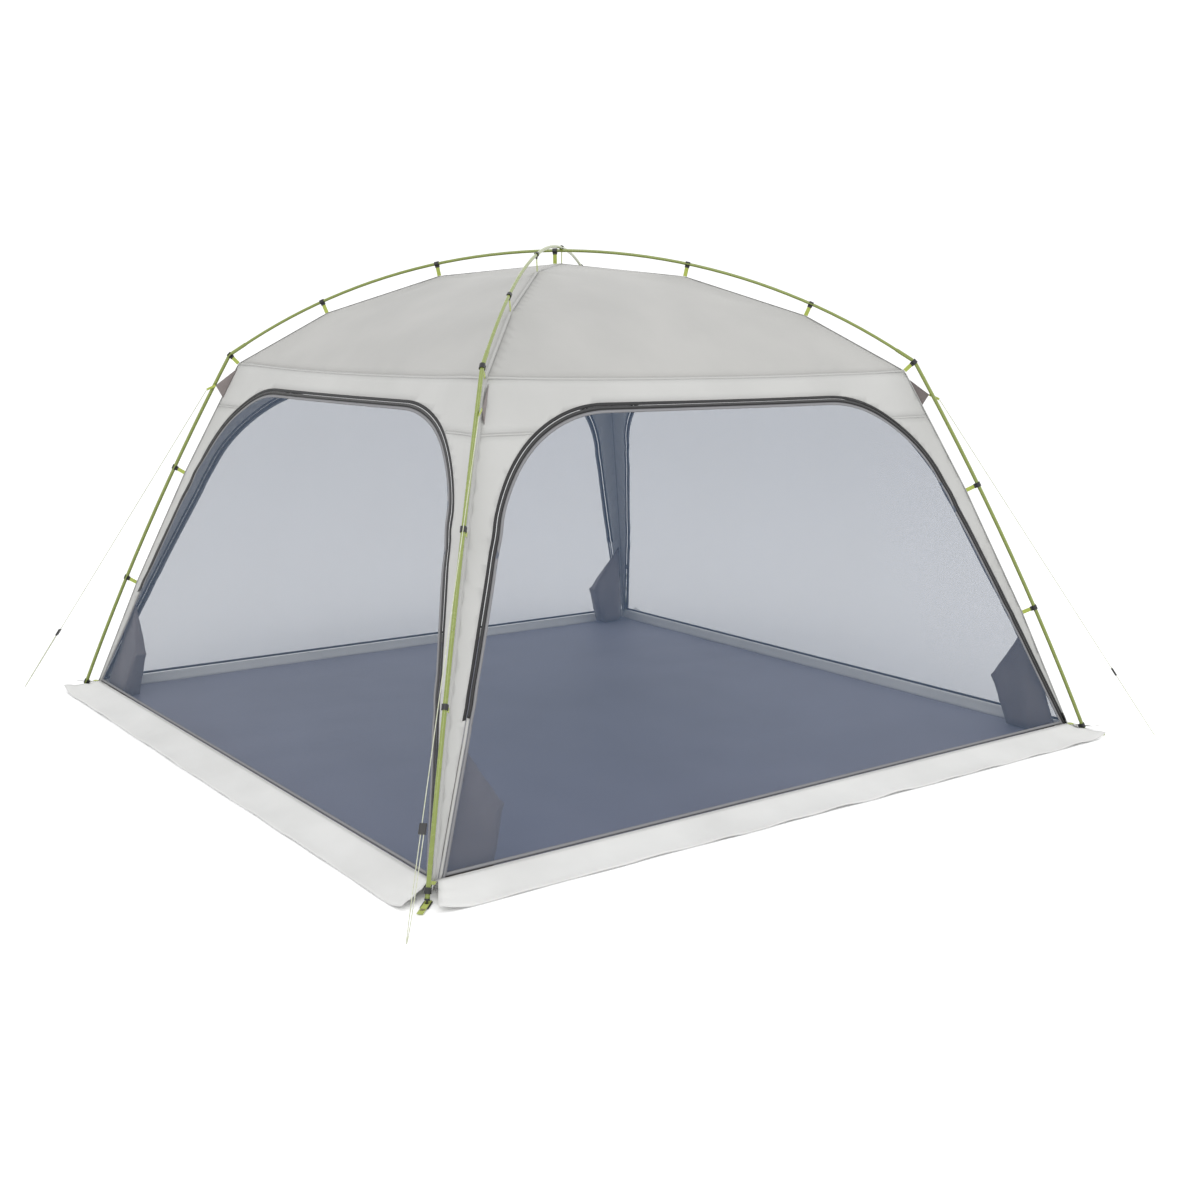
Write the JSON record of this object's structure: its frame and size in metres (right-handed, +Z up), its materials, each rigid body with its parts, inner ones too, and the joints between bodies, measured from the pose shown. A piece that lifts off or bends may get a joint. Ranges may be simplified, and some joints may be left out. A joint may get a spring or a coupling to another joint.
{
  "type": "screen house",
  "caption": "Square pitched screen house: two crossed poles, a clipped grey canopy, arch-shaped mesh doors on every wall, ground skirts, groundsheet and guy lines.",
  "frame": {"origin": "centre of the base, on the ground", "axes": "+Z up; the front wall faces -Y, and the other walls are quarter turns of it"},
  "size_m": [3.8068, 3.8068, 2.1141],
  "materials": {
    "black_plastic": "black acetal",
    "door_netting": "fine insect netting, see-through",
    "eyelet_metal": "dull",
    "ferrule_metal": "plain",
    "foot_plastic": "black",
    "groundsheet_cloth": "coated polyester, slate blue",
    "guy_cord": "braided cord, grey green",
    "lime_webbing": "lime woven webbing",
    "pocket_cloth": "matt polyester, grey",
    "pole_tube": "lime green gloss",
    "roof_cloth": "matt coated polyester, stone grey",
    "shock_cord": "white sheathed stretch cord",
    "skirt_cloth": "matt coated polyester, pale grey",
    "wall_cloth": "matt coated polyester, pale grey",
    "zip_metal": "black enamelled",
    "zip_tape": "black zip tape and coil"
  },
  "bodies": {
    "frame": {"clip_hooks": "black_plastic", "clip_straps": "lime_webbing", "corner_pockets": "pocket_cloth", "corner_tabs": "lime_webbing", "eave_band_back": "wall_cloth", "eave_band_front": "wall_cloth", "eave_band_left": "wall_cloth", "eave_band_right": "wall_cloth", "elbow_tubes": "pole_tube", "ferrules": "ferrule_metal", "floor_sill": "skirt_cloth", "foot_hooks": "black_plastic", "foot_pads": "foot_plastic", "foot_straps": "lime_webbing", "groundsheet": "groundsheet_cloth", "guy_line_back_left": "guy_cord", "guy_line_back_right": "guy_cord", "guy_line_front_left": "guy_cord", "guy_line_front_right": "guy_cord", "guy_loops": "lime_webbing", "guy_wings": "wall_cloth", "leg_panel_back_left": "wall_cloth", "leg_panel_back_right": "wall_cloth", "leg_panel_front_left": "wall_cloth", "leg_panel_front_right": "wall_cloth", "leg_poles_lower": "pole_tube", "leg_poles_upper": "pole_tube", "peg_eyelets": "eyelet_metal", "pole_tips": "foot_plastic", "roof_panel_back": "roof_cloth", "roof_panel_front": "roof_cloth", "roof_panel_left": "roof_cloth", "roof_panel_right": "roof_cloth", "roof_pole_a": "pole_tube", "roof_pole_b": "pole_tube", "shock_cords": "shock_cord", "skirt_back": "skirt_cloth", "skirt_front": "skirt_cloth", "skirt_left": "skirt_cloth", "skirt_right": "skirt_cloth", "stretch_loops": "shock_cord", "zip_tracks": "zip_tape"},
    "door_front": {"door_mesh_front": "door_netting", "door_zip_front": "zip_tape"},
    "slider_front": {"zip_slider_front": "zip_metal"},
    "door_right": {"door_mesh_right": "door_netting", "door_zip_right": "zip_tape"},
    "slider_right": {"zip_slider_right": "zip_metal"},
    "door_back": {"door_mesh_back": "door_netting", "door_zip_back": "zip_tape"},
    "slider_back": {"zip_slider_back": "zip_metal"},
    "door_left": {"door_mesh_left": "door_netting", "door_zip_left": "zip_tape"},
    "slider_left": {"zip_slider_left": "zip_metal"},
    "tensioner_front_left": {"tensioner_front_left": "black_plastic"},
    "tensioner_front_right": {"tensioner_front_right": "black_plastic"},
    "tensioner_back_right": {"tensioner_back_right": "black_plastic"},
    "tensioner_back_left": {"tensioner_back_left": "black_plastic"}
  },
  "joints": [
    {"name": "door_front_swing", "type": "hinge", "parent": "frame", "child": "door_front", "pos_m": [-1.60001, -1.61801, 0.045], "axis": [-0.3802, -0.2808, -0.8812], "range_deg": [0, 110]},
    {"name": "zip_front_slide", "type": "slide", "parent": "frame", "child": "slider_front", "axis": [-0.3802, 0.2808, 0.8812], "range_m": [0, 0.5198]},
    {"name": "door_right_swing", "type": "hinge", "parent": "frame", "child": "door_right", "pos_m": [1.61801, -1.60001, 0.045], "axis": [0.2808, -0.3802, -0.8812], "range_deg": [0, 110]},
    {"name": "zip_right_slide", "type": "slide", "parent": "frame", "child": "slider_right", "axis": [-0.2808, -0.3802, 0.8812], "range_m": [0, 0.5198]},
    {"name": "door_back_swing", "type": "hinge", "parent": "frame", "child": "door_back", "pos_m": [1.60001, 1.61801, 0.045], "axis": [0.3802, 0.2808, -0.8812], "range_deg": [0, 110]},
    {"name": "zip_back_slide", "type": "slide", "parent": "frame", "child": "slider_back", "axis": [0.3802, -0.2808, 0.8812], "range_m": [0, 0.5198]},
    {"name": "door_left_swing", "type": "hinge", "parent": "frame", "child": "door_left", "pos_m": [-1.61801, 1.60001, 0.045], "axis": [-0.2808, 0.3802, -0.8812], "range_deg": [0, 110]},
    {"name": "zip_left_slide", "type": "slide", "parent": "frame", "child": "slider_left", "axis": [0.2808, 0.3802, 0.8812], "range_m": [0, 0.5198]},
    {"name": "tensioner_front_left_slide", "type": "slide", "parent": "frame", "child": "tensioner_front_left", "axis": [0.4002, 0.4002, 0.8244], "range_m": [-0.2, 0.9]},
    {"name": "tensioner_front_right_slide", "type": "slide", "parent": "frame", "child": "tensioner_front_right", "axis": [-0.4002, 0.4002, 0.8244], "range_m": [-0.2, 0.9]},
    {"name": "tensioner_back_right_slide", "type": "slide", "parent": "frame", "child": "tensioner_back_right", "axis": [-0.4002, -0.4002, 0.8244], "range_m": [-0.2, 0.9]},
    {"name": "tensioner_back_left_slide", "type": "slide", "parent": "frame", "child": "tensioner_back_left", "axis": [0.4002, -0.4002, 0.8244], "range_m": [-0.2, 0.9]}
  ]
}
